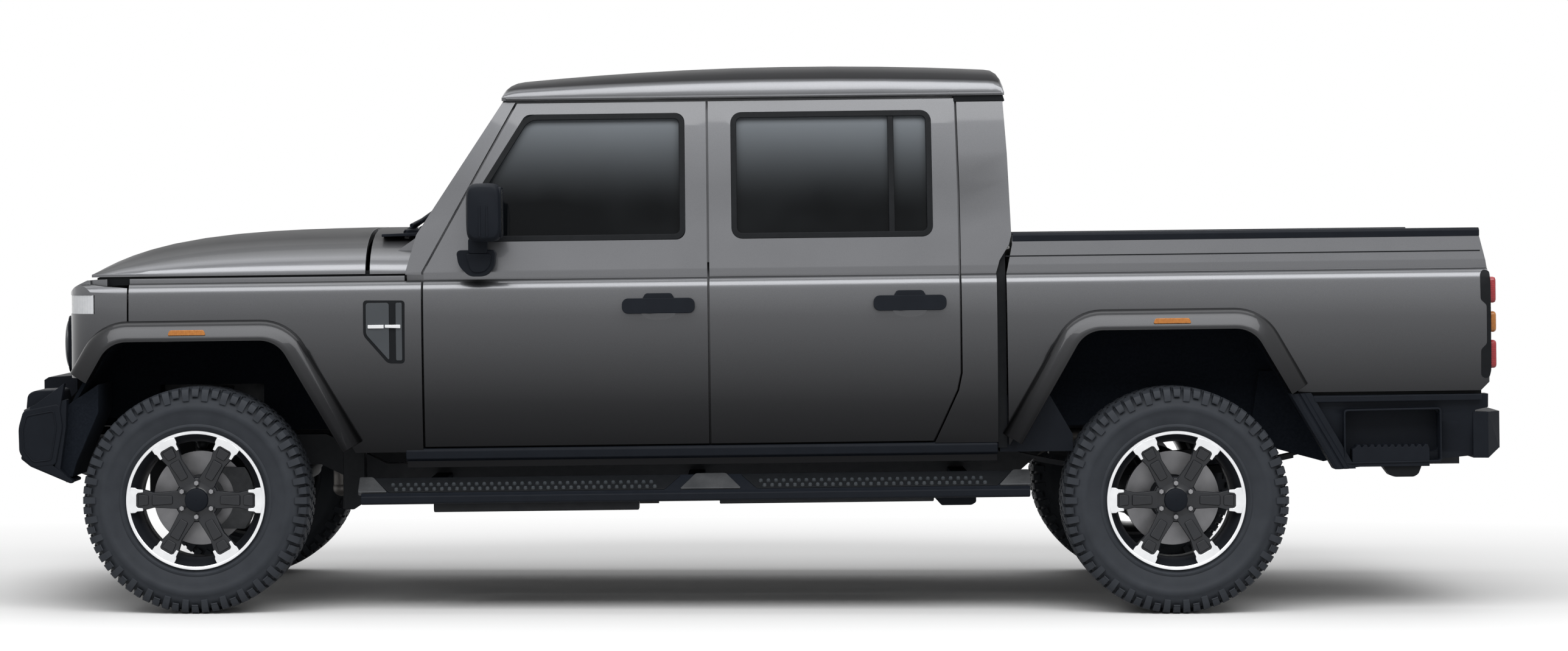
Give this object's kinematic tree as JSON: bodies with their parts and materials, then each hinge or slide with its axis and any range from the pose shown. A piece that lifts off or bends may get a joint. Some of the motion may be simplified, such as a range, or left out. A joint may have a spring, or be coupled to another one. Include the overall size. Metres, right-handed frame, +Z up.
{
  "type": "crew-cab off-road pickup",
  "caption": "Lifted crew-cab off-road pickup with opening doors, bonnet and tailgate, steered front wheels, spinning wheels and an open load bed.",
  "frame": {"origin": "centre of the bounding box in plan, on the ground under the tyres", "axes": "+X to the tail, -X to the nose, -Y to the vehicle's left side, +Z up"},
  "size_m": [5.3314, 2.1682, 1.969],
  "materials": {
    "body_paint": "metallic gloss",
    "black_metal": "satin",
    "cast_metal": "rough",
    "steel": "dull",
    "black_plastic": "fine grained",
    "glass": "dark tinted",
    "lamp_clear": "clear lens",
    "lamp_red": "red lens",
    "trim_fabric": "stitched",
    "tyre_rubber": "matt",
    "rim_alloy": "black with machined edge"
  },
  "bodies": {
    "vehicle": {"chassis_frame": "black_metal", "cross_members": "black_metal", "hitch_receiver": "black_metal", "powertrain": "cast_metal", "exhaust": "steel", "fuel_tank": "black_plastic", "front_suspension": "black_metal", "rear_axle": "black_metal", "rear_springs": "black_metal", "cab_shell": "body_paint", "cab_floor": "body_paint", "roof": "body_paint", "cab_glass": "glass", "cowl": "body_paint", "front_wings": "body_paint", "front_panel": "body_paint", "grille": "black_plastic", "headlamps": "lamp_clear", "wheel_arch_flares": "body_paint", "wheel_arch_liners": "black_plastic", "front_bumper": "black_plastic", "load_bed": "body_paint", "tail_lamps": "lamp_red", "rear_bumper": "black_plastic", "side_steps": "black_plastic", "seats": "trim_fabric", "dashboard": "black_plastic", "steering_rack": "cast_metal"},
    "bonnet": {"bonnet": "body_paint"},
    "tailgate": {"tailgate": "body_paint"},
    "steering_wheel": {"steering_wheel": "black_plastic"},
    "front_left_door": {"front_left_door": "body_paint", "front_left_door_glass": "glass", "left_mirror": "black_plastic"},
    "front_right_door": {"front_right_door": "body_paint", "front_right_door_glass": "glass", "right_mirror": "black_plastic"},
    "rear_left_door": {"rear_left_door": "body_paint", "rear_left_door_glass": "glass"},
    "rear_right_door": {"rear_right_door": "body_paint", "rear_right_door_glass": "glass"},
    "left_knuckle": {"left_knuckle": "cast_metal"},
    "right_knuckle": {"right_knuckle": "cast_metal"},
    "front_left_wheel": {"front_left_tyre": "tyre_rubber", "front_left_rim": "rim_alloy"},
    "front_right_wheel": {"front_right_tyre": "tyre_rubber", "front_right_rim": "rim_alloy"},
    "rear_left_wheel": {"rear_left_tyre": "tyre_rubber", "rear_left_rim": "rim_alloy"},
    "rear_right_wheel": {"rear_right_tyre": "tyre_rubber", "rear_right_rim": "rim_alloy"}
  },
  "joints": [
    {"name": "front_left_door_hinge", "type": "hinge", "parent": "vehicle", "child": "front_left_door", "pos_m": [-1.14491, -0.884, 0.88608], "axis": [0.0122, 0, -0.9999], "range_deg": [0, 65]},
    {"name": "front_right_door_hinge", "type": "hinge", "parent": "vehicle", "child": "front_right_door", "pos_m": [-1.14491, 0.884, 0.88608], "axis": [-0.0122, 0, 0.9999], "range_deg": [0, 65]},
    {"name": "rear_left_door_hinge", "type": "hinge", "parent": "vehicle", "child": "rear_left_door", "pos_m": [-0.12699, -0.884, 0.89852], "axis": [0.0122, 0, -0.9999], "range_deg": [0, 65]},
    {"name": "rear_right_door_hinge", "type": "hinge", "parent": "vehicle", "child": "rear_right_door", "pos_m": [-0.12699, 0.884, 0.89852], "axis": [-0.0122, 0, 0.9999], "range_deg": [0, 65]},
    {"name": "bonnet_hinge", "type": "hinge", "parent": "vehicle", "child": "bonnet", "pos_m": [-1.38768, 0, 1.35715], "axis": [0, 1, 0], "range_deg": [0, 50]},
    {"name": "tailgate_hinge", "type": "hinge", "parent": "vehicle", "child": "tailgate", "pos_m": [2.56397, 0, 0.87739], "axis": [0, 1, 0], "range_deg": [0, 88]},
    {"name": "left_steer", "type": "hinge", "parent": "vehicle", "child": "left_knuckle", "pos_m": [-1.985, -0.72, 0.402], "axis": [0, 0, 1], "range_deg": [-30, 30]},
    {"name": "front_left_spin", "type": "hinge", "parent": "left_knuckle", "child": "front_left_wheel", "pos_m": [-1.985, -0.8, 0.402], "axis": [0, 1, 0], "continuous": true},
    {"name": "right_steer", "type": "hinge", "parent": "vehicle", "child": "right_knuckle", "pos_m": [-1.985, 0.72, 0.402], "axis": [0, 0, 1], "range_deg": [-30, 30]},
    {"name": "front_right_spin", "type": "hinge", "parent": "right_knuckle", "child": "front_right_wheel", "pos_m": [-1.985, 0.8, 0.402], "axis": [0, 1, 0], "continuous": true},
    {"name": "rear_left_spin", "type": "hinge", "parent": "vehicle", "child": "rear_left_wheel", "pos_m": [1.495, -0.8, 0.402], "axis": [0, 1, 0], "continuous": true},
    {"name": "rear_right_spin", "type": "hinge", "parent": "vehicle", "child": "rear_right_wheel", "pos_m": [1.495, 0.8, 0.402], "axis": [0, 1, 0], "continuous": true},
    {"name": "steering_wheel_turn", "type": "hinge", "parent": "vehicle", "child": "steering_wheel", "pos_m": [-0.86935, -0.38, 1.16947], "axis": [0.9011, 0, 0.4337], "range_deg": [-480, 480]}
  ],
  "couplings": [
    {"joint": "right_steer", "follows": "left_steer", "ratio": 1},
    {"joint": "steering_wheel_turn", "follows": "left_steer", "ratio": 16}
  ]
}
